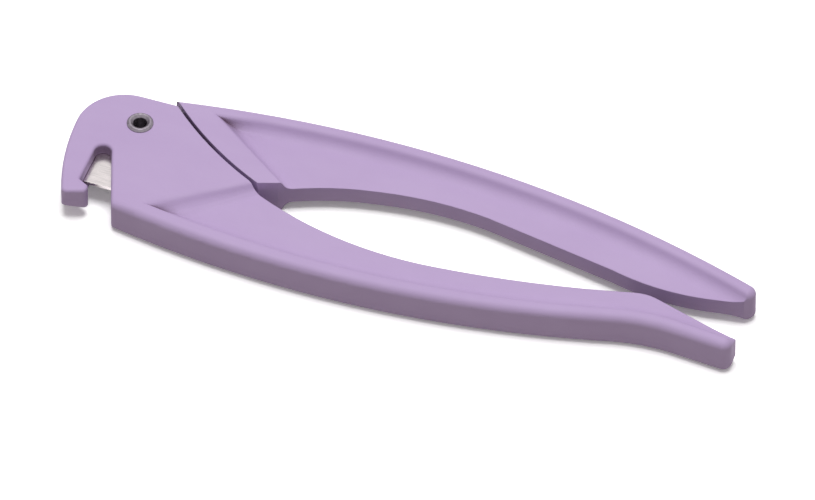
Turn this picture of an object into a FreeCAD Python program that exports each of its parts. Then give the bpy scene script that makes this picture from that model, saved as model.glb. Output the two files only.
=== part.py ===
"""Umbilical clamp clipper: a hook-jawed hand tool with a steel blade that swings into the hook.

Frame, in millimetres: the origin is the foot of the pivot's axis, on the face that the tool
lies on. +X runs along the tool towards the handle ends, +Y towards the lever handle's side
and +Z up, along the pivot. The tool is modelled closed, with the blade across the notch.
"""
import FreeCAD, Part
import math
import os
import Sketcher

SIZES = [
    # stock thicknesses and running clearances
    ("thickness", 9.5, "whole tool, face to face"),
    ("web_thickness", 4.4, "grip webs, in the middle of the thickness"),
    ("slot_width", 3.3, "slot through the head for the tongue"),
    ("tongue_thickness", 3.2, "tongue of the lever, which fills the slot"),
    ("parting_gap", 0.85, "gap between the head and the lever's shoulder"),
    ("slot_clearance", 0.5, "round the hub and outside the blade's sweep"),
    ("pivot_clearance", 0.05, "lever and blade bores over the eyelet's barrel"),
    # edges
    ("rim_width", 2.4, "crest of the rim along each grip's back"),
    ("rim_crest_radius", 1.6, "rim's crest, where it turns down towards the web"),
    ("rim_foot_radius", 3.8, "rim's foot, where it runs out into the web"),
    ("back_rounding", 2.0, "edges of the grips' backs, where the palm and fingers lie"),
    ("end_rounding", 2.2, "upright corners where the grips' backs meet the handle ends"),
    ("head_rounding", 0.8, "edges of the head, the hook and the notch's straight side"),
    ("corner_rounding", 1.3, "upright corners of the hook's end"),
    # head
    ("head_top", 8.7, "flat top of the head, above the pivot's centre"),
    ("shoulder_radius", 11.9, "round shoulder of the head"),
    ("shoulder_back", 2.9, "its centre, behind the pivot"),
    ("spine_radius", 63.0, "outside of the hook"),
    ("spine_angle", 22.2, "extent of that curve, in degrees"),
    ("head_lean", 19.5, "lean of the hook and notch from square, in degrees"),
    ("hook_tip_width", 5.9, "end face of the hook"),
    ("barb_height", 2.1, "barb's point above the end face"),
    ("barb_overhang", 0.4, "barb's point beyond the end face"),
    ("notch_wall", 6.75, "straight side of the notch from the pivot, square to the lean"),
    ("notch_top", 6.9, "closed end of the notch from the pivot, along the lean"),
    ("notch_radius", 2.05, "closed end of the notch"),
    ("notch_slope", 20.0, "hook's sloped side from the straight one, in degrees"),
    ("notch_slope_length", 10.2, "length of the sloped side"),
    ("hook_end_thickness", 4.9, "hook at its end face, bevelled from the back"),
    ("hook_bevel_length", 9.0, "that bevel, along the hook"),
    ("bevel_overrun", 6.0, "that bevel's sketch, beyond the end face"),
    ("head_depth", 26.1, "head's lower corner from the pivot, along the lean"),
    # parting curve, which is also the mouth side of the fixed handle
    ("parting_radius", 95.0, "parting curve"),
    ("parting_reach", 10.5, "from the pivot to the nearest point of the parting curve"),
    ("parting_angle", 46.2, "direction of that point, from the tool's length, in degrees"),
    # fixed handle
    ("belly_radius", 277.0, "outside of the fixed grip"),
    ("belly_x", 56.4, "where the fixed grip hangs lowest"),
    ("belly_drop", 31.3, "fixed grip there, below the pivot's line"),
    ("belly_end_x", 124.0, "end of that curve"),
    ("belly_turn_radius", 50.0, "turn from the belly into the handle end"),
    ("belly_tail_x", 140.0, "start of the straight handle end"),
    ("belly_tail_y", 20.9, "start of the straight handle end, below the pivot's line"),
    ("fixed_end_x", 156.0, "handle end"),
    ("fixed_end_outer", 22.2, "handle end's outer corner, below the pivot's line"),
    ("fixed_end_inner", 17.3, "handle end's inner corner, below the pivot's line"),
    ("throat_x", 80.7, "where the parting curve runs into the flatter grip curve"),
    ("throat_radius", 275.0, "flatter grip curve"),
    ("nip_start_x", 128.5, "start of the bend where the handles come nearest"),
    ("nip_start_y", 10.5, "that point, below the pivot's line"),
    ("nip_end_x", 134.5, "end of that bend"),
    ("nip_end_y", 10.8, "that point, below the pivot's line"),
    ("nip_radius", 11.0, "that bend"),
    # lever handle
    ("back_radius", 297.7, "outside of the lever grip"),
    ("back_x", 58.4, "where the lever's back stands highest"),
    ("back_height", 15.4, "lever's back there, above the pivot's line"),
    ("lever_end_x", 157.9, "handle end's outer corner"),
    ("lever_end_inner_x", 154.0, "handle end's inner corner"),
    ("lever_end_inner_y", 5.4, "that corner, below the pivot's line"),
    ("swell_end_x", 148.0, "end of the swell on the lever's inner side"),
    ("swell_end_y", 6.3, "that point, below the pivot's line"),
    ("swell_start_x", 121.0, "start of the swell"),
    ("swell_start_y", 5.4, "that point, below the pivot's line"),
    ("swell_radius", 60.0, "swell"),
    ("bow_end_x", 88.0, "tail end of the finger bow"),
    ("bow_end_y", 0.6, "that point, above the pivot's line"),
    ("bow_radius", 88.0, "finger bow"),
    ("root_end_x", 37.5, "root end of the finger bow"),
    ("root_end_y", 7.5, "that point, below the pivot's line"),
    ("root_x", 33.0, "lever's inner corner at the parting curve"),
    # recesses that leave the webs
    ("root_corner_x", 18.0, "lever recess, corner between the rim and the root rib"),
    ("root_exit_x", 45.0, "lever recess, where the root rib runs out past the bow"),
    ("root_corner_run", 2.7, "run-out at that corner, as a multiple of the rim's"),
    ("root_exit_run", 0.6, "run-out at the bow, as a multiple of the rim's"),
    ("lever_recess_end", 157.8, "lever recess, tail end"),
    ("crease_head_x", 34.0, "fixed grip recess, beyond the parting curve"),
    ("crease_head_y", 6.8, "that point, below the pivot's line"),
    ("crease_angle", 32.0, "line where the head plate ends, from the tool's length, in degrees"),
    ("crease_run", 0.7, "run-out at that line's upper end, as a multiple of the rim's"),
    ("crease_fan", 2.6, "turn of that line over each millimetre of the rim's run-out, in degrees"),
    ("fixed_recess_end", 157.2, "fixed grip recess, tail end, beyond the handle end"),
    ("recess_overrun", 6.0, "recess sketches, beyond the grips' open sides"),
    # slot in the head
    ("slot_radius", 22.2, "slot, about the pivot"),
    ("slot_back_x", 3.0, "where the slot breaks out of the head's top, behind the pivot"),
    ("slot_overrun", 4.0, "slot sketch, beyond the head's top"),
    ("slot_hub_angle", 25.0, "where the hub's clearance ends, below the pivot's line, in degrees"),
    ("relief_top_x", 9.7, "hook's blade relief, upper corner behind the pivot"),
    ("relief_top_y", 9.5, "that corner, below the pivot's line"),
    ("relief_foot_x", 10.3, "hook's blade relief, lower corner behind the pivot"),
    # tongue of the lever
    ("hub_radius", 7.6, "tongue round the pivot"),
    ("neck_top_x", 12.0, "upper flank of the tongue, inside the lever"),
    ("neck_top_y", 9.0, "that point, above the pivot's line"),
    ("hub_end_angle", 25.0, "where the hub runs into the blade carrier, in degrees"),
    ("carrier_inset", 1.15, "blade carrier, back from the notch's straight side"),
    ("carrier_bend", 8.0, "carrier's bend from the pivot, along the lean"),
    ("carrier_radius", 17.3, "carrier's end, about the pivot"),
    ("carrier_angle", 58.0, "carrier's far corner, below the pivot's line, in degrees"),
    ("neck_foot_x", 21.5, "lower flank of the tongue, inside the lever"),
    ("neck_foot_y", 1.0, "that point, below the pivot's line"),
    # blade
    ("blade_thickness", 0.8, "steel strip"),
    ("blade_eye_radius", 5.4, "blade round the pivot"),
    ("blade_reach", 19.5, "blade's end edge, below the pivot's line"),
    ("edge_depth", 1.4, "cutting edge inside the hook when closed"),
    ("edge_start", 10.5, "top of the cutting edge, below the pivot's line"),
    ("blade_back_x", 3.2, "blade's back corner"),
    ("eye_back_angle", 16.0, "where the eye runs into the back, in degrees"),
    ("eye_front_angle", 20.0, "where the eye runs into the front, in degrees"),
    ("bevel_width", 1.7, "ground bevel"),
    ("bevel_depth", 0.35, "ground bevel, on each face"),
    ("pin_radius", 1.0, "pin that locks the blade to the carrier"),
    ("pin_x", 1.6, "pin's centre"),
    ("pin_y", 12.0, "pin's centre, below the pivot's line"),
    # pivot eyelet
    ("barrel_radius", 2.3, "eyelet barrel, outside"),
    ("eye_radius", 1.7, "eyelet barrel, bore"),
    ("flange_radius", 3.2, "eyelet flange on the front face"),
    ("flange_height", 0.7, "that flange"),
    ("flare", 0.6, "bore's flared mouth"),
    ("curl_radius", 3.1, "rolled end on the back face"),
    ("curl_height", 0.8, "that roll"),
    ("lip_bevel", 0.5, "outer edges of the flange and the roll"),
    ("washer_radius", 3.5, "washer under the rolled end"),
    ("washer_height", 0.5, "that washer"),
    ("seat_clearance", 0.1, "round the washer in its seat"),
]

# chords along the two arcs of a rim's side
CREST_CHORDS = 4
FOOT_CHORDS = 6

doc = FreeCAD.newDocument("clamp_clipper")
sheet = doc.addObject("Spreadsheet::Sheet", "Sizes")


class Size:
    """A length or angle together with the sheet formula that gives it."""

    def __init__(self, value, text):
        self.value = value
        self.text = text

    def __add__(self, other):
        other = size(other)
        return Size(self.value + other.value, f"({self.text} + {other.text})")

    def __sub__(self, other):
        other = size(other)
        return Size(self.value - other.value, f"({self.text} - {other.text})")

    def __mul__(self, other):
        other = size(other)
        return Size(self.value * other.value, f"({self.text} * {other.text})")

    def __truediv__(self, other):
        other = size(other)
        return Size(self.value / other.value, f"({self.text} / {other.text})")

    def __neg__(self):
        return Size(-self.value, f"(0 - {self.text})")


def size(thing):
    """Wrap a plain number, or leave a Size as it is."""
    if isinstance(thing, Size):
        return thing
    return Size(float(thing), f"{thing}")


def sine(angle):
    return Size(math.sin(math.radians(angle.value)), f"sin({angle.text})")


def cosine(angle):
    return Size(math.cos(math.radians(angle.value)), f"cos({angle.text})")


def arccosine(ratio):
    return Size(math.degrees(math.acos(ratio.value)), f"acos({ratio.text})")


def hypotenuse(side, other_side):
    """The long side of a right-angled triangle."""
    square = side * side + other_side * other_side
    return Size(math.sqrt(square.value), f"sqrt({square.text})")


def leg(long_side, other_leg):
    """The third side of a right-angled triangle."""
    square = long_side * long_side - other_leg * other_leg
    return Size(math.sqrt(square.value), f"sqrt({square.text})")


class Names:
    """The sheet's cells, each read as an attribute."""


s = Names()
for row, (alias, number, remark) in enumerate(SIZES, start=1):
    sheet.set(f"A{row}", alias)
    sheet.set(f"B{row}", str(number))
    sheet.set(f"C{row}", remark)
    sheet.setAlias(f"B{row}", alias)
    setattr(s, alias, Size(number, f"Sizes.{alias}"))
doc.recompute()


# drawing helpers

class Turn:
    """An arc to the next corner; a positive radius bulges to the right of the way round."""

    def __init__(self, radius, left=False):
        self.radius = radius
        self.left = left


def leaned(across, along):
    """A head point, given across and along the lean, as distances in front of and below the pivot."""
    lean = s.head_lean
    return (across * cosine(lean) + along * sine(lean), across * sine(lean) - along * cosine(lean))


def circle_y(centre, radius, x, side):
    """The height of a circle at x, on its upper (+1) or lower (-1) side."""
    return centre[1] + leg(radius, x - centre[0]) * side


def circles_cross(centre, radius, other_centre, other_radius):
    """Where two circles cross, on the left of the way from the first centre to the other."""
    across = other_centre[0] - centre[0]
    up = other_centre[1] - centre[1]
    apart = hypotenuse(across, up)
    ahead = (apart * apart + radius * radius - other_radius * other_radius) / (apart * 2)
    aside = leg(radius, ahead)
    return (centre[0] + (across * ahead - up * aside) / apart,
            centre[1] + (up * ahead + across * aside) / apart)


def line_meets_circle(point, angle, centre, radius):
    """Where a line through a point first meets a circle, coming from the angle's far side."""
    across = point[0] - centre[0]
    up = point[1] - centre[1]
    ahead = across * cosine(angle) + up * sine(angle)
    aside = across * sine(angle) - up * cosine(angle)
    step = -ahead - leg(radius, aside)
    return (point[0] + step * cosine(angle), point[1] + step * sine(angle))


def arc_between(start, end, turn):
    """The first, middle and last points of a Turn's arc."""
    first = FreeCAD.Vector(start[0].value, start[1].value, 0)
    last = FreeCAD.Vector(end[0].value, end[1].value, 0)
    chord = last - first
    right = FreeCAD.Vector(chord.y, -chord.x, 0).normalize()
    radius = turn.radius.value
    rise = radius - math.sqrt(radius ** 2 - (chord.Length / 2) ** 2)
    middle = (first + last) * 0.5 + right * (-rise if turn.left else rise)
    return first, middle, last


def plane_of(body, role):
    return [feature for feature in body.Origin.OriginFeatures if feature.Role == role][0]


def new_sketch(body, name, lift=None, role="XY_Plane"):
    sketch = body.newObject("Sketcher::SketchObject", name)
    sketch.AttachmentSupport = [(plane_of(body, role), "")]
    sketch.MapMode = "FlatFace"
    if lift is not None:
        sketch.setExpression("AttachmentOffset.Base.z", lift.text)
    return sketch


def pin_point(sketch, geometry, end, point):
    """Tie one end of a line or arc to its place from the sketch's origin."""
    for axis, part in (("DistanceX", point[0]), ("DistanceY", point[1])):
        index = sketch.addConstraint(Sketcher.Constraint(axis, -1, 1, geometry, end, part.value))
        sketch.setExpression(f"Constraints[{index}]", part.text)


def draw_loop(sketch, way):
    """Draw a closed outline: corners, with a Turn between two corners that an arc joins."""
    corners = [step for step in way if not isinstance(step, Turn)]
    turns = []
    for place, step in enumerate(way):
        if not isinstance(step, Turn):
            following = way[(place + 1) % len(way)]
            turns.append(following if isinstance(following, Turn) else None)
    starts = []
    for number, (corner, turn) in enumerate(zip(corners, turns)):
        after = corners[(number + 1) % len(corners)]
        if turn is None:
            first = FreeCAD.Vector(corner[0].value, corner[1].value, 0)
            last = FreeCAD.Vector(after[0].value, after[1].value, 0)
            sketch.addGeometry(Part.LineSegment(first, last))
            starts.append((1, 2))
            continue
        first, middle, last = arc_between(corner, after, turn)
        sketch.addGeometry(Part.Arc(first, middle, last))
        to_start = sketch.getPoint(number, 1).distanceToPoint(first)
        to_end = sketch.getPoint(number, 2).distanceToPoint(first)
        starts.append((1, 2) if to_start < to_end else (2, 1))
        index = sketch.addConstraint(Sketcher.Constraint("Radius", number, turn.radius.value))
        sketch.setExpression(f"Constraints[{index}]", turn.radius.text)
    for number, corner in enumerate(corners):
        after = (number + 1) % len(corners)
        sketch.addConstraint(
            Sketcher.Constraint("Coincident", number, starts[number][1], after, starts[after][0]))
        pin_point(sketch, number, starts[number][0], corner)


def draw_circle(sketch, centre, radius):
    middle = FreeCAD.Vector(centre[0].value, centre[1].value, 0)
    number = sketch.addGeometry(Part.Circle(middle, FreeCAD.Vector(0, 0, 1), radius.value))
    index = sketch.addConstraint(Sketcher.Constraint("Radius", number, radius.value))
    sketch.setExpression(f"Constraints[{index}]", radius.text)
    pin_point(sketch, number, 3, centre)


def new_body(label):
    body = doc.addObject("PartDesign::Body", label)
    body.Label = label
    return body


def pad(body, name, sketch, length, side="Symmetric"):
    feature = body.newObject("PartDesign::Pad", name)
    feature.Profile = sketch
    feature.SideType = side
    feature.setExpression("Length", length.text)
    doc.recompute()
    return feature


def pocket(body, name, sketch, length, side="One side", reverse=False):
    """Cut a pocket, and stop if it takes nothing away."""
    before = body.Shape.Volume
    feature = body.newObject("PartDesign::Pocket", name)
    feature.Profile = sketch
    feature.SideType = side
    feature.Reversed = reverse
    feature.setExpression("Length", length.text)
    doc.recompute()
    if body.Shape.Volume > before - 0.01:
        raise RuntimeError(f"{name} cuts nothing")
    return feature


def rim_steps():
    """The rim's side from crest to web, as (run-out, depth) steps along its two arcs."""
    crest = s.rim_crest_radius
    foot = s.rim_foot_radius
    steepest = arccosine(size(1) - recess_depth / (crest + foot))
    run = (crest + foot) * sine(steepest)
    steps = []
    for number in range(CREST_CHORDS):
        angle = steepest * (number / CREST_CHORDS)
        steps.append((crest * sine(angle), crest * (size(1) - cosine(angle))))
    for number in range(FOOT_CHORDS, -1, -1):
        angle = steepest * (number / FOOT_CHORDS)
        steps.append((run - foot * sine(angle), recess_depth - foot * (size(1) - cosine(angle))))
    return steps


def sloped_recess(body, name, way):
    """Sink a recess with swept sides into both faces; way(inset) draws its outline further in."""
    before = body.Shape.Volume
    sections = []
    for number, (inset, depth) in enumerate(rim_steps()):
        section = new_sketch(body, f"{name}_{number}", half - depth)
        draw_loop(section, way(inset))
        sections.append(section)
    feature = body.newObject("PartDesign::SubtractiveLoft", name)
    feature.Profile = sections[0]
    feature.Sections = sections[1:]
    feature.Ruled = True
    doc.recompute()
    if body.Shape.Volume > before - 0.01:
        raise RuntimeError(f"{name} cuts nothing")
    mirror(body, f"{name}_back", feature)


def mirror(body, name, feature):
    """Repeat a feature on the other face of the tool."""
    copy = body.newObject("PartDesign::Mirrored", name)
    copy.Originals = [feature]
    copy.MirrorPlane = (plane_of(body, "XY_Plane"), [""])
    body.Tip = copy
    doc.recompute()
    return copy


def edges_where(shape, test):
    """Names of the edges whose middle point and direction pass a test."""
    names = []
    for number, edge in enumerate(shape.Edges, start=1):
        middle = edge.valueAt((edge.FirstParameter + edge.LastParameter) / 2)
        ends = [vertex.Point for vertex in edge.Vertexes]
        upright = len(ends) == 2 and (ends[1] - ends[0]).Length > 0.01
        upright = upright and abs((ends[1] - ends[0]).normalize().z) > 0.999
        if test(middle, upright, edge):
            names.append(f"Edge{number}")
    return names


def on_face(middle):
    return abs(abs(middle.z) - half.value) < 0.001


def beside(middle, *points):
    """Whether an upright edge stands at one of some corners."""
    return any(math.hypot(middle.x - x.value, middle.y - y.value) < 0.5 for x, y in points)


def round_edges(body, name, radius, test):
    """Round the edges that pass a test, and those that run on smoothly from them."""
    base = body.Tip
    names = edges_where(base.Shape, test)
    if not names:
        raise RuntimeError(f"{name} finds no edge")
    feature = body.newObject("PartDesign::Fillet", name)
    feature.Base = (base, names)
    feature.setExpression("Radius", radius.text)
    doc.recompute()
    if "Invalid" in feature.State:
        raise RuntimeError(f"{name} fails")
    return feature


half = s.thickness / 2
recess_depth = (s.thickness - s.web_thickness) / 2
parting_centre = ((s.parting_radius + s.parting_reach) * cosine(s.parting_angle),
                  (s.parting_radius + s.parting_reach) * sine(s.parting_angle))
back_centre = (s.back_x, s.back_height - s.back_radius)
pivot = (size(0), size(0))


def on_back(x, inset=0):
    """A point of the lever's back curve, or of its copy further in."""
    return (x, circle_y(back_centre, s.back_radius - inset, x, 1))


def on_parting(x, inset):
    """A point of the parting curve, moved towards the lever by an inset."""
    return (x, circle_y(parting_centre, s.parting_radius - inset, x, -1))


# head and notch points

shoulder_y = s.head_top - s.shoulder_radius
hook_side = (-(s.shoulder_back + s.shoulder_radius), shoulder_y)
hook_heel = (hook_side[0] + s.spine_radius * (size(1) - cosine(s.spine_angle)),
             hook_side[1] - s.spine_radius * sine(s.spine_angle))
hook_toe = (hook_heel[0] + s.hook_tip_width * cosine(s.head_lean),
            hook_heel[1] + s.hook_tip_width * sine(s.head_lean))
barb_step = leaned(s.barb_overhang, -s.barb_height)
barb_point = (hook_toe[0] + barb_step[0], hook_toe[1] + barb_step[1])
notch_across = -(s.notch_wall + s.notch_radius)
notch_along = s.notch_top + s.notch_radius
slope_across = notch_across - s.notch_radius * cosine(s.notch_slope)
slope_along = notch_along - s.notch_radius * sine(s.notch_slope)
slope_top = leaned(slope_across, slope_along)
slope_foot = leaned(slope_across - s.notch_slope_length * sine(s.notch_slope),
                    slope_along + s.notch_slope_length * cosine(s.notch_slope))
notch_crown = leaned(notch_across, s.notch_top)
wall_top = leaned(-s.notch_wall, notch_along)
head_corner = leaned(-s.notch_wall, s.head_depth)
top_corner = (parting_centre[0] - leg(s.parting_radius, parting_centre[1] - s.head_top), s.head_top)
belly_centre = (s.belly_x, s.belly_radius - s.belly_drop)
belly_end = (s.belly_end_x, circle_y(belly_centre, s.belly_radius, s.belly_end_x, -1))
belly_tail = (s.belly_tail_x, -s.belly_tail_y)
fixed_end_outer = (s.fixed_end_x, -s.fixed_end_outer)
lever_end_outer = on_back(s.lever_end_x)


def lower_recess_way(inset):
    """Fixed grip's recess: rim side, tail end, past the open inner side, and the head plate's end."""
    rim = s.rim_width + inset
    tail_x = s.fixed_recess_end - inset
    beyond = s.recess_overrun - s.nip_end_y
    run = inset * s.crease_run
    angle = s.crease_angle + inset * s.crease_fan
    crease_head = (s.crease_head_x + run * sine(s.crease_angle),
                   -s.crease_head_y - run * cosine(s.crease_angle))
    return [
        line_meets_circle(crease_head, angle, belly_centre, s.belly_radius - rim),
        Turn(s.belly_radius - rim),
        (s.belly_end_x, circle_y(belly_centre, s.belly_radius - rim, s.belly_end_x, -1)),
        Turn(s.belly_turn_radius + rim, left=True),
        (s.belly_tail_x, rim - s.belly_tail_y),
        (tail_x, rim - s.fixed_end_outer),
        (tail_x, beyond),
        (s.crease_head_x + s.recess_overrun, beyond),
        crease_head,
    ]


def build_lower_handle():
    """Fixed handle: hooked head with a slot for the tongue, and a grip with a thick outer rim."""
    body = new_body("lower_handle")
    outline = new_sketch(body, "lower_outline")
    draw_loop(outline, [
        top_corner,
        (-s.shoulder_back, s.head_top), Turn(s.shoulder_radius),
        hook_side, Turn(s.spine_radius),
        hook_heel,
        hook_toe,
        barb_point,
        slope_foot,
        slope_top, Turn(s.notch_radius, left=True),
        notch_crown, Turn(s.notch_radius, left=True),
        wall_top,
        head_corner, Turn(s.belly_radius),
        belly_end, Turn(s.belly_turn_radius, left=True),
        belly_tail,
        fixed_end_outer,
        (s.fixed_end_x, -s.fixed_end_inner),
        (s.nip_end_x, -s.nip_end_y), Turn(s.nip_radius),
        (s.nip_start_x, -s.nip_start_y), Turn(s.throat_radius, left=True),
        on_parting(s.throat_x, 0), Turn(s.parting_radius, left=True),
    ])
    pad(body, "lower_blank", outline, s.thickness)

    def hook_end_corner(middle, upright, edge):
        return upright and beside(middle, hook_heel, hook_toe)

    def outer_end_corner(middle, upright, edge):
        return upright and beside(middle, fixed_end_outer)

    def belly_edge(middle, upright, edge):
        return on_face(middle) and middle.y < belly_edge_top and edge.Length > s.belly_x.value

    def head_edge(middle, upright, edge):
        behind = middle.x < notch_middle or abs(middle.y - s.head_top.value) < 0.001
        return on_face(middle) and (behind or beside(middle, straight_side_middle))

    belly_edge_top = -s.head_depth.value
    notch_middle = notch_crown[0].value
    straight_side_middle = leaned(-s.notch_wall, (notch_along + s.head_depth) / 2)
    round_edges(body, "hook_end_corners", s.corner_rounding, hook_end_corner)
    round_edges(body, "outer_end_corner", s.end_rounding, outer_end_corner)
    round_edges(body, "belly_edges", s.back_rounding, belly_edge)
    round_edges(body, "head_edges", s.head_rounding, head_edge)

    sloped_recess(body, "lower_recess", lower_recess_way)

    slot = new_sketch(body, "slot_outline")
    relief_foot = (-s.relief_foot_x, -leg(s.slot_radius, s.relief_foot_x))
    hub_clearance = s.hub_radius + s.slot_clearance
    draw_loop(slot, [
        relief_foot, Turn(s.slot_radius),
        (s.slot_radius * cosine(s.carrier_angle), -s.slot_radius * sine(s.carrier_angle)),
        Turn(s.slot_radius),
        (s.slot_radius, size(0)),
        (s.slot_radius, s.head_top + s.slot_overrun),
        (-s.slot_back_x, s.head_top + s.slot_overrun),
        (-s.slot_back_x, leg(hub_clearance, s.slot_back_x)), Turn(hub_clearance),
        (-hub_clearance * cosine(s.slot_hub_angle), -hub_clearance * sine(s.slot_hub_angle)),
        (-s.relief_top_x, -s.relief_top_y),
    ])
    pocket(body, "slot", slot, s.slot_width, side="Symmetric")

    bore = new_sketch(body, "pivot_bore_outline")
    draw_circle(bore, pivot, s.barrel_radius)
    pocket(body, "pivot_bore", bore, s.thickness, side="Symmetric")
    seat = new_sketch(body, "washer_seat_outline", -half)
    draw_circle(seat, pivot, s.washer_radius + s.seat_clearance)
    pocket(body, "washer_seat", seat, s.curl_height + s.washer_height, reverse=True)
    hook_bevel(body)
    body.setExpression("Placement.Base.z", half.text)
    return body


def hook_bevel(body):
    """Thin the hook from the back towards its end face."""
    end = hook_heel[1]
    rise = s.thickness - s.hook_end_thickness
    side = new_sketch(body, "hook_bevel_outline", wall_top[0], role="YZ_Plane")
    draw_loop(side, [
        (end - s.bevel_overrun, -half),
        (end + s.hook_bevel_length, -half),
        (end - s.bevel_overrun, -half + rise * (size(1) + s.bevel_overrun / s.hook_bevel_length)),
    ])
    pocket(body, "hook_bevel", side, -hook_side[0])


def upper_recess_way(inset):
    """Lever recess: rib side, past the open inner side, tail end and rim side."""
    rim = s.rim_width + inset
    tail_x = s.lever_recess_end - inset
    beyond = -(s.root_end_y + s.recess_overrun)
    return [
        on_back(s.root_corner_x + inset * s.root_corner_run, rim),
        (s.root_exit_x + inset * s.root_exit_run, beyond),
        (tail_x, beyond),
        on_back(tail_x, rim), Turn(s.back_radius - rim),
    ]


def build_upper_handle():
    """Lever: grip with a thick outer rim, and a thin tongue that carries the blade."""
    body = new_body("upper_handle")
    outline = new_sketch(body, "upper_outline")
    shoulder = s.parting_radius - s.parting_gap
    draw_loop(outline, [
        circles_cross(back_centre, s.back_radius, parting_centre, shoulder), Turn(shoulder),
        on_parting(s.root_x, s.parting_gap),
        (s.root_end_x, -s.root_end_y), Turn(s.bow_radius, left=True),
        (s.bow_end_x, s.bow_end_y),
        (s.swell_start_x, -s.swell_start_y), Turn(s.swell_radius),
        (s.swell_end_x, -s.swell_end_y),
        (s.lever_end_inner_x, -s.lever_end_inner_y),
        lever_end_outer, Turn(s.back_radius),
    ])
    pad(body, "upper_blank", outline, s.thickness)

    def outer_end_corner(middle, upright, edge):
        return upright and beside(middle, lever_end_outer)

    def back_edge(middle, upright, edge):
        return on_face(middle) and middle.y > 0 and edge.Length > s.lever_end_x.value / 2

    round_edges(body, "lever_outer_end", s.end_rounding, outer_end_corner)
    round_edges(body, "back_edges", s.back_rounding, back_edge)

    sloped_recess(body, "upper_recess", upper_recess_way)

    tongue = new_sketch(body, "tongue_outline")
    carrier_side = -(s.notch_wall - s.carrier_inset)
    carrier_foot = leaned(carrier_side, leg(s.carrier_radius, carrier_side))
    draw_loop(tongue, [
        (s.neck_top_x, s.neck_top_y),
        (size(0), s.hub_radius), Turn(s.hub_radius),
        (-s.hub_radius, size(0)), Turn(s.hub_radius),
        (-s.hub_radius * cosine(s.hub_end_angle), -s.hub_radius * sine(s.hub_end_angle)),
        leaned(carrier_side, s.carrier_bend),
        carrier_foot, Turn(s.carrier_radius),
        (s.carrier_radius * cosine(s.carrier_angle), -s.carrier_radius * sine(s.carrier_angle)),
        (s.neck_foot_x, -s.neck_foot_y),
    ])
    pad(body, "tongue", tongue, s.tongue_thickness)

    bed = new_sketch(body, "blade_bed_outline", s.tongue_thickness / 2)
    draw_loop(bed, blade_way())
    pocket(body, "blade_bed", bed, s.blade_thickness)
    bore = new_sketch(body, "lever_bore_outline")
    draw_circle(bore, pivot, s.barrel_radius + s.pivot_clearance)
    pocket(body, "lever_bore", bore, s.thickness, side="Symmetric")
    pin_hole = new_sketch(body, "pin_hole_outline")
    draw_circle(pin_hole, (s.pin_x, -s.pin_y), s.pin_radius)
    pocket(body, "pin_hole", pin_hole, s.thickness, side="Symmetric")
    body.setExpression("Placement.Base.z", half.text)
    return body


def blade_way():
    """Outline of the blade: an eye round the pivot, a back, an end edge and the cutting edge."""
    lean = s.notch_slope - s.head_lean
    run = sine(lean) / cosine(lean)
    edge_x = slope_foot[0] - s.edge_depth / cosine(lean)
    foot = (edge_x + (slope_foot[1] + s.blade_reach) * run, -s.blade_reach)
    head = (foot[0] + (s.blade_reach - s.edge_start) * run, -s.edge_start)
    eye = s.blade_eye_radius
    return [
        head,
        foot,
        (s.blade_back_x, -s.blade_reach),
        (eye * cosine(s.eye_back_angle), -eye * sine(s.eye_back_angle)), Turn(eye),
        (size(0), eye), Turn(eye),
        (-eye * cosine(s.eye_front_angle), -eye * sine(s.eye_front_angle)),
    ]


def build_blade():
    """Steel blade, flush with the tongue's front face, ground on both faces of its edge."""
    body = new_body("blade")
    low = s.tongue_thickness / 2 - s.blade_thickness
    outline = new_sketch(body, "blade_outline", low)
    draw_loop(outline, blade_way())
    pad(body, "blade_strip", outline, s.blade_thickness, side="One side")
    holes = new_sketch(body, "blade_holes_outline", low)
    draw_circle(holes, pivot, s.barrel_radius + s.pivot_clearance)
    draw_circle(holes, (s.pin_x, -s.pin_y), s.pin_radius)
    pocket(body, "blade_holes", holes, s.blade_thickness, reverse=True)
    edge_head, edge_foot = blade_way()[:2]
    edge_length = math.hypot(edge_head[0].value - edge_foot[0].value,
                             edge_head[1].value - edge_foot[1].value)
    strip_middle = (low + s.blade_thickness / 2).value
    for face, side in (("front", 1), ("back", -1)):
        def on_cutting_edge(middle, upright, edge):
            this_face = (middle.z - strip_middle) * side > 0
            return this_face and abs(edge.Length - edge_length) < 0.001

        base = body.Tip
        bevel = body.newObject("PartDesign::Chamfer", f"{face}_bevel")
        bevel.Base = (base, edges_where(base.Shape, on_cutting_edge))
        bevel.ChamferType = "Two distances"
        bevel.setExpression("Size", s.bevel_width.text)
        bevel.setExpression("Size2", s.bevel_depth.text)
        bevel.FlipDirection = True
        doc.recompute()
    body.setExpression("Placement.Base.z", half.text)
    return body


def build_blade_pin():
    """Plain pin, pressed through the carrier and the blade."""
    pin = doc.addObject("Part::Cylinder", "blade_pin")
    pin.Label = "blade_pin"
    pin.setExpression("Radius", s.pin_radius.text)
    pin.setExpression("Height", s.tongue_thickness.text)
    pin.setExpression("Placement.Base.x", s.pin_x.text)
    pin.setExpression("Placement.Base.y", (-s.pin_y).text)
    pin.setExpression("Placement.Base.z", (half - s.tongue_thickness / 2).text)
    return pin


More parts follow.
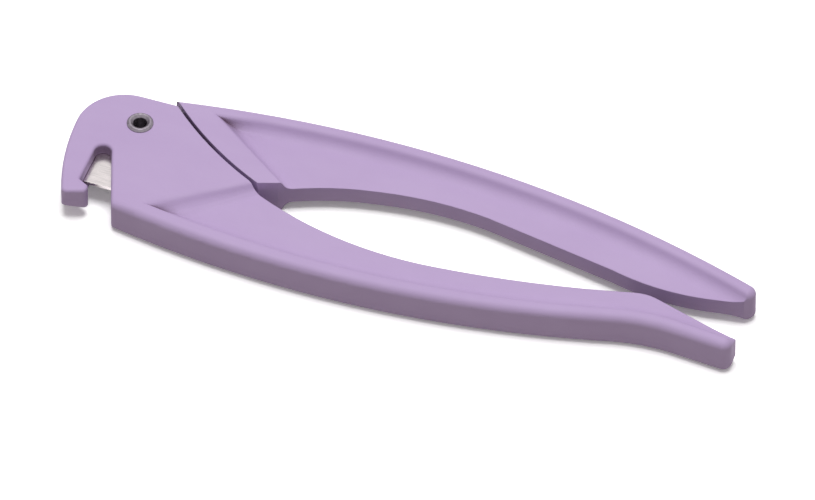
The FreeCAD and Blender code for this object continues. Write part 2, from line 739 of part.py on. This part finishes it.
def build_pivot_eyelet():
    """Hollow rivet: a flange on the front face, a barrel, and an end rolled over the washer."""
    body = new_body("pivot_eyelet")
    section = new_sketch(body, "eyelet_section", role="XZ_Plane")
    lip = s.lip_bevel
    flange_top = s.thickness + s.flange_height
    draw_loop(section, [
        (s.eye_radius, size(0)),
        (s.curl_radius - lip, size(0)),
        (s.curl_radius, lip),
        (s.curl_radius, s.curl_height),
        (s.barrel_radius, s.curl_height),
        (s.barrel_radius, s.thickness),
        (s.flange_radius, s.thickness),
        (s.flange_radius, flange_top - lip),
        (s.flange_radius - lip, flange_top),
        (s.eye_radius + s.flare, flange_top),
        (s.eye_radius, flange_top - s.flare),
    ])
    turned = body.newObject("PartDesign::Revolution", "eyelet_turned")
    turned.Profile = section
    turned.ReferenceAxis = (section, ["V_Axis"])
    turned.Angle = 360
    doc.recompute()
    return body


def build_pivot_washer():
    """Flat washer in its seat in the back face."""
    body = new_body("pivot_washer")
    ring = new_sketch(body, "washer_outline", s.curl_height)
    draw_circle(ring, pivot, s.washer_radius)
    draw_circle(ring, pivot, s.barrel_radius)
    pad(body, "washer_ring", ring, s.washer_height, side="One side")
    return body


pieces = [
    build_lower_handle(),
    build_upper_handle(),
    build_blade(),
    build_blade_pin(),
    build_pivot_eyelet(),
    build_pivot_washer(),
]
doc.recompute()
for item in doc.Objects:
    if "Invalid" in item.State or "Error" in item.State:
        raise RuntimeError(f"{item.Label} failed: {item.State}")
for piece in pieces:
    if piece.Shape.isNull() or not piece.Shape.isValid() or not piece.Shape.Solids:
        raise RuntimeError(f"{piece.Label} has no valid solid")

os.makedirs("parts", exist_ok=True)
for piece in pieces:
    piece.Shape.exportStep(f"parts/{piece.Label}.step")
    print(piece.Label, len(piece.Shape.Solids), round(piece.Shape.Volume, 1), piece.Shape.BoundBox)
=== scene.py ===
import math

import bmesh
import bpy
import numpy as np
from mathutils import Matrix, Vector

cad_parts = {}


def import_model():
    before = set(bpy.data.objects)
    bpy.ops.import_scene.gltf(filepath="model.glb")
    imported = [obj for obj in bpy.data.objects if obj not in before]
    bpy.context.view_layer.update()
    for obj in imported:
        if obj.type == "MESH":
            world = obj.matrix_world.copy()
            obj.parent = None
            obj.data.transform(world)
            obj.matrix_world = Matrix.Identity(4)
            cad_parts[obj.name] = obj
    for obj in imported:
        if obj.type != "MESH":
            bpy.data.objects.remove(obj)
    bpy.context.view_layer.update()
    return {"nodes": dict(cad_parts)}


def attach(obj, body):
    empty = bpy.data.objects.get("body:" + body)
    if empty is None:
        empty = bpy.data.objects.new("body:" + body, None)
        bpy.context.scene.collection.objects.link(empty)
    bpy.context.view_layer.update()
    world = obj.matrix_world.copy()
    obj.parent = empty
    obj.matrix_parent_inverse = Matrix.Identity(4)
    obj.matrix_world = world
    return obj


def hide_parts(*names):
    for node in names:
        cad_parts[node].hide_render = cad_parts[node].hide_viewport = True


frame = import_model()
cad_nodes = frame["nodes"]

MM = 0.001

# Camera: the photograph's viewing angle and framing, from far away, as the photograph is nearly parallel
VIEW_AZIMUTH = math.radians(19.5)
VIEW_ELEVATION = math.radians(47.0)
VIEW_TARGET = Vector((73.9, -17.7, 9.5)) * MM
VIEW_WIDTH = 193.2 * MM
LENS = 900.0
SENSOR = 36.0

# Light: a soft lamp almost overhead, leaning to the back, and an even fill
LAMP_AIM = Vector((0.07, -0.01, 0.0))
LAMP_DISTANCE = 1.3
LAMP_LEAN = math.radians(5.0)
LAMP_SIZE = 0.95
LAMP_ENERGY = 13.9
FILL_STRENGTH = 0.25
FILL_COLOUR = (1.0, 0.985, 0.94)
FLOOR_BOUNCE = (0.53, 0.51, 0.45)
FLOOR_SEEN = (0.68, 0.68, 0.68)
FLOOR_LIFT = 0.14

# The handles' moulding: its thickness, and how finely its rounded edges are cut
THICKNESS = 9.5 * MM
LEAST_ROUNDING = 0.4 * MM
MOST_ROUNDING = 2.5 * MM
SHORTEST_CUT = 1.0 * MM
CUT_TOLERANCE = 0.015 * MM
SEAT_TOLERANCE = 0.03 * MM
LEVEL_TOLERANCE = 0.01 * MM
WELD_DISTANCE = 0.001 * MM
UPRIGHT_TILT = 0.004
ROUNDED_TILT = 0.5
SQUARE_END = 0.93
FAR = 1.0
CREASE_ANGLE = math.radians(30.0)
SHADING_WEIGHT = 80

# The fixed grip's end: the recess runs out over it, so its last lip is pressed down to the web
LIP_START_X = 153.4 * MM
LIP_INNER_Y = -17.4 * MM
LIP_OUTER_Y = -19.3 * MM
WEB_HALF = 2.45 * MM
LIP_KEPT = 0.22

# The lever's recess, seen from above: the crest of its end wall runs from a corner at the rim to the bow.
# The rim's own side starts beyond a line through ROOT_RIM_START, ROOT_RIM_RUN along X for each 1 down Y.
ROOT_CORNER = Vector((18.0, 10.22)) * MM
ROOT_BOW = Vector((37.5, -7.5)) * MM
ROOT_RIM_START = Vector((21.1, 10.6)) * MM
ROOT_RIM_RUN = 3.73
ROOT_RIM_SLOPE = 0.127
ROOT_CREST_MARGIN = 0.2 * MM
ROOT_RIM_MARGIN = 0.1 * MM
ROOT_LEAST_HEIGHT = 2.0 * MM

# How far that wall's rim end moves towards the parting line at its crest, and the foot's share of it
ROOT_SHIFT = Vector((-4.6, -0.72)) * MM
ROOT_FOOT_SHARE = 0.9

# Colours, as linear red, green and blue
LILAC = (0.517, 0.391, 0.632)
LILAC_DEEP = (0.487, 0.361, 0.602)
# Painted shade: the next four values set a dark tone that is mixed into the plastic where its own walls
# close in, standing for the shade in the notch, the creases and the corners
PAINTED_SHADE = (0.070, 0.025, 0.055)
PAINTED_SHADE_MOST = 0.95
CREVICE_DEPTH = 6.0 * MM
CREVICE_FULL_SHADE = 0.62
CREVICE_NO_SHADE = 0.84
STEEL = (0.760, 0.700, 0.700)
STEEL_DARK = (0.600, 0.560, 0.560)
NICKEL = (0.265, 0.235, 0.270)
NICKEL_DARK = (0.150, 0.130, 0.155)
PIN_STEEL = (0.500, 0.500, 0.510)


class Finish:
    """A node material around one principled shader."""

    def __init__(self, name, roughness, metallic=0.0):
        self.material = bpy.data.materials.new(name)
        self.material.use_nodes = True
        self.tree = self.material.node_tree
        self.shader = self.tree.nodes["Principled BSDF"]
        self.shader.inputs["Roughness"].default_value = roughness
        self.shader.inputs["Metallic"].default_value = metallic
        self.place = self.node("ShaderNodeTexCoord").outputs["Object"]

    def node(self, kind, **inputs):
        made = self.tree.nodes.new(kind)
        for name, value in inputs.items():
            made.inputs[name.replace("_", " ")].default_value = value
        return made

    def link(self, source, target):
        self.tree.links.new(source, target)

    def stretched(self, scale):
        """The object's coordinates, each multiplied by its own scale."""
        mapping = self.node("ShaderNodeMapping", Scale=scale)
        self.link(self.place, mapping.inputs["Vector"])
        return mapping.outputs["Vector"]

    def noise(self, where, scale, detail=2.0, roughness=0.5):
        made = self.node("ShaderNodeTexNoise", Scale=scale, Detail=detail, Roughness=roughness)
        self.link(where, made.inputs["Vector"])
        return made.outputs["Fac"]

    def ramp(self, factor, stops):
        """A colour ramp over (place, colour) stops."""
        made = self.node("ShaderNodeValToRGB")
        band = made.color_ramp
        while len(band.elements) < len(stops):
            band.elements.new(0.5)
        for element, (place, colour) in zip(band.elements, stops):
            element.position = place
            element.color = (*colour, 1.0)
        self.link(factor, made.inputs["Fac"])
        return made.outputs["Color"]

    def levels(self, factor, low, high, to_low, to_high):
        """A factor between low and high, as a number between to_low and to_high."""
        made = self.node("ShaderNodeMapRange")
        for name, value in (("From Min", low), ("From Max", high), ("To Min", to_low), ("To Max", to_high)):
            made.inputs[name].default_value = value
        self.link(factor, made.inputs["Value"])
        return made.outputs["Result"]

    def openness(self, reach):
        """1 where the surface is open, and less where its own walls stand within reach."""
        made = self.node("ShaderNodeAmbientOcclusion", Distance=reach)
        made.samples = 12
        made.only_local = True
        return made.outputs["AO"]

    def mixed(self, factor, base, colour):
        """The base colour, turning to a colour as the factor goes to 1."""
        made = self.node("ShaderNodeMix")
        made.data_type = "RGBA"
        base_in, colour_in = (socket for socket in made.inputs if socket.type == "RGBA")
        colour_in.default_value = (*colour, 1.0)
        self.link(factor, made.inputs["Factor"])
        self.link(base, base_in)
        return next(socket for socket in made.outputs if socket.type == "RGBA")

    def softened(self, radius):
        """Normals that turn round crisp edges over a radius."""
        return self.node("ShaderNodeBevel", Radius=radius).outputs["Normal"]

    def bump(self, height, strength, distance, under=None):
        made = self.node("ShaderNodeBump", Strength=strength, Distance=distance)
        self.link(height, made.inputs["Height"])
        if under is not None:
            self.link(under, made.inputs["Normal"])
        return made.outputs["Normal"]

    def feed(self, source, name):
        self.link(source, self.shader.inputs[name])


def handle_plastic():
    """Lilac moulded plastic: soft edges, fine grain, faint mottling, uneven gloss, and painted shade
    darkening its crevices.
    """
    finish = Finish("handle_plastic", roughness=0.6)
    finish.shader.inputs["Specular IOR Level"].default_value = 0.25
    flow = finish.noise(finish.stretched((0.6, 1.6, 1.6)), 42.0, detail=4.0, roughness=0.6)
    plain = finish.ramp(flow, [(0.30, LILAC_DEEP), (0.70, LILAC)])
    # Painted shade: the plastic turns towards a dark tone where its own walls stand close, as in the notch
    # and the creases
    painted_shade = finish.levels(finish.openness(CREVICE_DEPTH), CREVICE_FULL_SHADE, CREVICE_NO_SHADE, PAINTED_SHADE_MOST, 0.0)
    finish.feed(finish.mixed(painted_shade, plain, PAINTED_SHADE), "Base Color")
    handling = finish.noise(finish.place, 210.0, detail=3.0)
    finish.feed(finish.levels(handling, 0.3, 0.7, 0.54, 0.68), "Roughness")
    soft = finish.softened(0.35 * MM)
    waves = finish.noise(finish.place, 320.0, detail=2.0)
    moulded = finish.bump(waves, 0.25, 0.05 * MM, under=soft)
    grain = finish.noise(finish.place, 2600.0, detail=3.0, roughness=0.6)
    finish.feed(finish.bump(grain, 0.55, 0.06 * MM, under=moulded), "Normal")
    return finish.material


def blade_steel():
    """Ground strip steel, with fine lines across the blade."""
    finish = Finish("blade_steel", roughness=0.3, metallic=1.0)
    lines = finish.noise(finish.stretched((1.0, 26.0, 1.0)), 260.0, detail=4.0, roughness=0.7)
    finish.feed(finish.ramp(lines, [(0.30, STEEL_DARK), (0.62, STEEL)]), "Base Color")
    finish.feed(finish.levels(lines, 0.3, 0.7, 0.16, 0.28), "Roughness")
    finish.feed(finish.bump(lines, 0.2, 0.01 * MM, under=finish.softened(0.05 * MM)), "Normal")
    return finish.material


def nickel_plate(name, light, dark, gloss):
    """Plated rivet metal, dulled in patches."""
    finish = Finish(name, roughness=gloss, metallic=1.0)
    patches = finish.noise(finish.place, 900.0, detail=4.0, roughness=0.6)
    finish.feed(finish.ramp(patches, [(0.30, dark), (0.55, light)]), "Base Color")
    finish.feed(finish.levels(patches, 0.3, 0.7, gloss + 0.12, gloss - 0.05), "Roughness")
    scratches = finish.noise(finish.stretched((1.0, 7.0, 1.0)), 1500.0, detail=3.0)
    finish.feed(finish.bump(scratches, 0.15, 0.01 * MM, under=finish.softened(0.25 * MM)), "Normal")
    return finish.material


def dress(piece, material):
    """Give a piece its finish."""
    piece.data.materials.clear()
    piece.data.materials.append(material)


def rounded_walls(mesh):
    """The stretches of upright wall that meet a rounded edge: ends, radius, and 1 above or -1 below."""
    stretches = []
    for edge in mesh.edges:
        tilts = [abs(face.normal.z) for face in edge.link_faces]
        upright = [tilt for tilt in tilts if tilt < UPRIGHT_TILT]
        curved = [tilt for tilt in tilts if UPRIGHT_TILT <= tilt < ROUNDED_TILT]
        start, end = (vertex.co for vertex in edge.verts)
        level = abs(start.z - end.z) < LEVEL_TOLERANCE
        above = start.z > THICKNESS / 2
        radius = THICKNESS - start.z if above else start.z
        if len(upright) == 1 and len(curved) == 1 and level and LEAST_ROUNDING < radius < MOST_ROUNDING:
            stretches.append((start.x, start.y, end.x, end.y, radius, 1.0 if above else -1.0))
    return np.array(stretches)


class Rounding:
    """Where points near a rounded edge belong: on the quarter circle that follows the nearest wall."""

    def __init__(self, points, walls):
        self.find_wall(points, walls)
        half = THICKNESS / 2

        # The way out from the quarter circle's centre to the point, towards the wall and towards the face
        out = self.radius - self.gap
        up = self.side * (points[:, 2] - half) - half + self.radius
        reach = np.hypot(out, up)
        within = (out > 0) & (up > 0)
        self.sunk = np.where(within, self.radius - reach, 0.0)

        near_arc = np.abs(np.hypot(np.maximum(out, 0), np.maximum(up, 0)) - self.radius) < SEAT_TOLERANCE
        beside = (out > -SEAT_TOLERANCE) & (up > -SEAT_TOLERANCE)
        self.seated = near_arc & beside

        stretch = self.radius / np.maximum(reach, WELD_DISTANCE)
        flat = points[:, :2] + self.inward * (out * (1.0 - stretch))[:, None]
        level = points[:, 2] + self.side * up * (stretch - 1.0)
        self.place = np.where(within[:, None], np.column_stack([flat, level]), points)

    def find_wall(self, points, walls):
        """Keep what the nearest stretch of wall on the same face of the tool says about each point."""
        start_x, start_y, end_x, end_y, radius, side = walls.T
        length = np.hypot(end_x - start_x, end_y - start_y)
        run_x = (end_x - start_x) / length
        run_y = (end_y - start_y) / length
        x, y, z = points[:, 0, None], points[:, 1, None], points[:, 2, None]
        along = np.clip((x - start_x) * run_x + (y - start_y) * run_y, 0.0, length)
        off_x = x - start_x - along * run_x
        off_y = y - start_y - along * run_y
        same_face = (z > THICKNESS / 2) == (side > 0)
        gap = np.where(same_face, np.hypot(off_x, off_y), FAR)
        row = np.arange(len(points))
        nearest = gap.argmin(axis=1)
        self.run = np.stack([run_x[nearest], run_y[nearest]], axis=1)
        self.radius = radius[nearest]
        self.side = side[nearest]
        self.gap = gap[row, nearest]
        inward = np.stack([off_x[row, nearest], off_y[row, nearest]], axis=1)
        self.inward = inward / np.maximum(self.gap, WELD_DISTANCE)[:, None]


def sunk_edges(mesh, walls):
    """The edges that cut across a rounding, longest first, each with the place its middle belongs at."""
    edges = [edge for edge in mesh.edges if edge.calc_length() > SHORTEST_CUT]
    starts, ends = (np.array([edge.verts[end].co[:] for edge in edges]) for end in (0, 1))
    middle = Rounding((starts + ends) / 2, walls)
    chosen = middle.sunk > CUT_TOLERANCE
    for tip in (Rounding(starts, walls), Rounding(ends, walls)):
        chosen &= tip.seated & (np.abs(tip.radius - middle.radius) < SEAT_TOLERANCE)
    found = []
    for index in np.nonzero(chosen)[0]:
        run = Vector((*middle.run[index], 0.0))
        if all(abs(face.normal.dot(run)) < SQUARE_END for face in edges[index].link_faces):
            found.append((edges[index].calc_length(), edges[index], Vector(middle.place[index])))
    return sorted(found, key=lambda item: -item[0])


def cut(edge, place):
    """Split an edge at a new point, and each triangle beside it in two."""
    beside = []
    for face in edge.link_faces:
        opposite = next(vertex for vertex in face.verts if vertex not in edge.verts)
        beside.append((face, opposite))
    point = bmesh.utils.edge_split(edge, edge.verts[0], 0.5)[1]
    point.co = place
    for face, opposite in beside:
        bmesh.utils.face_split(face, point, opposite)


def ease_lip(mesh):
    """Press down the thin lip that the recess leaves at the fixed grip's end, on both faces."""
    for vertex in mesh.verts:
        height = abs(vertex.co.z - THICKNESS / 2)
        if vertex.co.x > LIP_START_X and height > WEB_HALF:
            share = (vertex.co.y - LIP_OUTER_Y) / (LIP_INNER_Y - LIP_OUTER_Y)
            share = min(max(share, 0.0), 1.0)
            eased = WEB_HALF + (height - WEB_HALF) * (1.0 - share * (1.0 - LIP_KEPT))
            vertex.co.z = THICKNESS / 2 + math.copysign(eased, vertex.co.z - THICKNESS / 2)
    mesh.normal_update()


def lean_root(mesh):
    """Bring the rim end of the lever's recess nearer to the parting line, the crest more than the foot."""
    for vertex in mesh.verts:
        x, y, z = vertex.co
        height = abs(z - THICKNESS / 2)
        share = (y - ROOT_BOW.y) / (ROOT_CORNER.y - ROOT_BOW.y)
        crest_x = ROOT_BOW.x + (ROOT_CORNER.x - ROOT_BOW.x) * share
        rim_x = ROOT_RIM_START.x + (ROOT_RIM_START.y - y) * ROOT_RIM_RUN
        rim_y = ROOT_CORNER.y + (x - ROOT_CORNER.x) * ROOT_RIM_SLOPE
        on_wall = crest_x - ROOT_CREST_MARGIN < x < rim_x and y < rim_y + ROOT_RIM_MARGIN
        if on_wall and share > 0 and height > ROOT_LEAST_HEIGHT:
            rise = (height - WEB_HALF) / (THICKNESS / 2 - WEB_HALF)
            rise = min(max(rise, 0.0), 1.0)
            lean = share * (ROOT_FOOT_SHARE + (1.0 - ROOT_FOOT_SHARE) * rise)
            vertex.co.x += ROOT_SHIFT.x * lean
            vertex.co.y += ROOT_SHIFT.y * lean
    mesh.normal_update()


def moulding(name, node, body, material, ease=None):
    """A moulded handle: the node's own form, its rounded edges cut finely, then changed by ease if given."""
    mesh = bmesh.new()
    mesh.from_mesh(cad_nodes[node].data)
    bmesh.ops.remove_doubles(mesh, verts=mesh.verts, dist=WELD_DISTANCE)
    mesh.normal_update()
    walls = rounded_walls(mesh)
    sunk = sunk_edges(mesh, walls)
    while sunk:
        for _, edge, place in sunk:
            cut(edge, place)
        mesh.normal_update()
        sunk = sunk_edges(mesh, walls)
    if ease:
        ease(mesh)
    for face in mesh.faces:
        face.smooth = True
    for edge in mesh.edges:
        edge.smooth = edge.calc_face_angle(0.0) < CREASE_ANGLE
    data = bpy.data.meshes.new(name)
    mesh.to_mesh(data)
    mesh.free()
    piece = bpy.data.objects.new(name, data)
    bpy.context.scene.collection.objects.link(piece)
    shading = piece.modifiers.new("shading", "WEIGHTED_NORMAL")
    shading.keep_sharp = True
    shading.weight = SHADING_WEIGHT
    dress(piece, material)
    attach(piece, body)
    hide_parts(node)
    return piece


def camera():
    data = bpy.data.cameras.new("camera")
    data.lens = LENS
    data.sensor_width = SENSOR
    holder = bpy.data.objects.new("camera", data)
    bpy.context.scene.collection.objects.link(holder)
    back = Vector((math.sin(VIEW_AZIMUTH) * math.cos(VIEW_ELEVATION),
                   -math.cos(VIEW_AZIMUTH) * math.cos(VIEW_ELEVATION),
                   math.sin(VIEW_ELEVATION)))
    holder.location = VIEW_TARGET + back * (VIEW_WIDTH * LENS / SENSOR)
    holder.rotation_mode = "QUATERNION"
    holder.rotation_quaternion = (-back).to_track_quat("-Z", "Y")
    bpy.context.scene.camera = holder


def overhead_lamp():
    """One soft disk above the tool, leaning away from the camera."""
    data = bpy.data.lights.new("overhead", "AREA")
    data.shape = "DISK"
    data.size = LAMP_SIZE
    data.energy = LAMP_ENERGY
    holder = bpy.data.objects.new("overhead", data)
    bpy.context.scene.collection.objects.link(holder)
    up = Vector((-math.sin(VIEW_AZIMUTH) * math.sin(LAMP_LEAN),
                 math.cos(VIEW_AZIMUTH) * math.sin(LAMP_LEAN),
                 math.cos(LAMP_LEAN)))
    holder.location = LAMP_AIM + up * LAMP_DISTANCE
    holder.rotation_mode = "QUATERNION"
    holder.rotation_quaternion = (-up).to_track_quat("-Z", "Y")


def seen_directly(tree):
    """1 for rays from the camera and for mirror and glass rays, else 0."""
    path = tree.nodes.new("ShaderNodeLightPath")
    either = tree.nodes.new("ShaderNodeMath")
    either.operation = "MAXIMUM"
    tree.links.new(path.outputs["Is Camera Ray"], either.inputs[0])
    tree.links.new(path.outputs["Is Glossy Ray"], either.inputs[1])
    every = tree.nodes.new("ShaderNodeMath")
    every.operation = "MAXIMUM"
    tree.links.new(either.outputs[0], every.inputs[0])
    tree.links.new(path.outputs["Is Transmission Ray"], every.inputs[1])
    return every.outputs[0]


def world():
    """White where it is seen, and a soft even fill elsewhere."""
    made = bpy.data.worlds.new("studio")
    bpy.context.scene.world = made
    made.use_nodes = True
    tree = made.node_tree
    tree.nodes.clear()
    fill = tree.nodes.new("ShaderNodeBackground")
    fill.inputs["Color"].default_value = (*FILL_COLOUR, 1.0)
    fill.inputs["Strength"].default_value = FILL_STRENGTH
    white = tree.nodes.new("ShaderNodeBackground")
    white.inputs["Color"].default_value = (1.0, 1.0, 1.0, 1.0)
    white.inputs["Strength"].default_value = 1.0
    mix = tree.nodes.new("ShaderNodeMixShader")
    out = tree.nodes.new("ShaderNodeOutputWorld")
    tree.links.new(seen_directly(tree), mix.inputs["Fac"])
    tree.links.new(fill.outputs[0], mix.inputs[1])
    tree.links.new(white.outputs[0], mix.inputs[2])
    tree.links.new(mix.outputs[0], out.inputs["Surface"])


def floor():
    """A pale floor that keeps the shadows: white where it is seen, and duller where it only lights the tool.

    What is seen adds up two equal diffuse shaders and a faint glow, so that the plain light leaves it white.
    """
    size = 3.0
    drop = 0.05 * MM
    mesh = bpy.data.meshes.new("floor")
    corners = [(-size, -size, -drop), (size, -size, -drop), (size, size, -drop), (-size, size, -drop)]
    mesh.from_pydata(corners, [], [(0, 1, 2, 3)])
    plane = bpy.data.objects.new("floor", mesh)
    bpy.context.scene.collection.objects.link(plane)
    made = bpy.data.materials.new("floor_white")
    made.use_nodes = True
    tree = made.node_tree
    tree.nodes.clear()
    seen = seen_directly(tree)
    dull = tree.nodes.new("ShaderNodeBsdfDiffuse")
    dull.inputs["Color"].default_value = (*FLOOR_BOUNCE, 1.0)
    pale = tree.nodes.new("ShaderNodeBsdfDiffuse")
    pale.inputs["Color"].default_value = (*FLOOR_SEEN, 1.0)
    doubled = tree.nodes.new("ShaderNodeAddShader")
    glow = tree.nodes.new("ShaderNodeEmission")
    glow.inputs["Strength"].default_value = FLOOR_LIFT
    lifted = tree.nodes.new("ShaderNodeAddShader")
    either = tree.nodes.new("ShaderNodeMixShader")
    out = tree.nodes.new("ShaderNodeOutputMaterial")
    tree.links.new(pale.outputs[0], doubled.inputs[0])
    tree.links.new(pale.outputs[0], doubled.inputs[1])
    tree.links.new(doubled.outputs[0], lifted.inputs[0])
    tree.links.new(glow.outputs[0], lifted.inputs[1])
    tree.links.new(seen, either.inputs["Fac"])
    tree.links.new(dull.outputs[0], either.inputs[1])
    tree.links.new(lifted.outputs[0], either.inputs[2])
    tree.links.new(either.outputs[0], out.inputs["Surface"])
    mesh.materials.append(made)


bpy.context.scene.view_settings.view_transform = "Standard"
camera()
world()
floor()
overhead_lamp()

plastic = handle_plastic()
moulding("lower_handle_moulding", "lower_handle", "fixed_handle", plastic, ease=ease_lip)
moulding("upper_handle_moulding", "upper_handle", "lever", plastic, ease=lean_root)
dress(cad_nodes["blade"], blade_steel())
dress(cad_nodes["blade_pin"], nickel_plate("pin_steel", PIN_STEEL, NICKEL_DARK, 0.35))
dress(cad_nodes["pivot_eyelet"], nickel_plate("eyelet_nickel", NICKEL, NICKEL_DARK, 0.42))
dress(cad_nodes["pivot_washer"], nickel_plate("washer_nickel", NICKEL, NICKEL_DARK, 0.42))
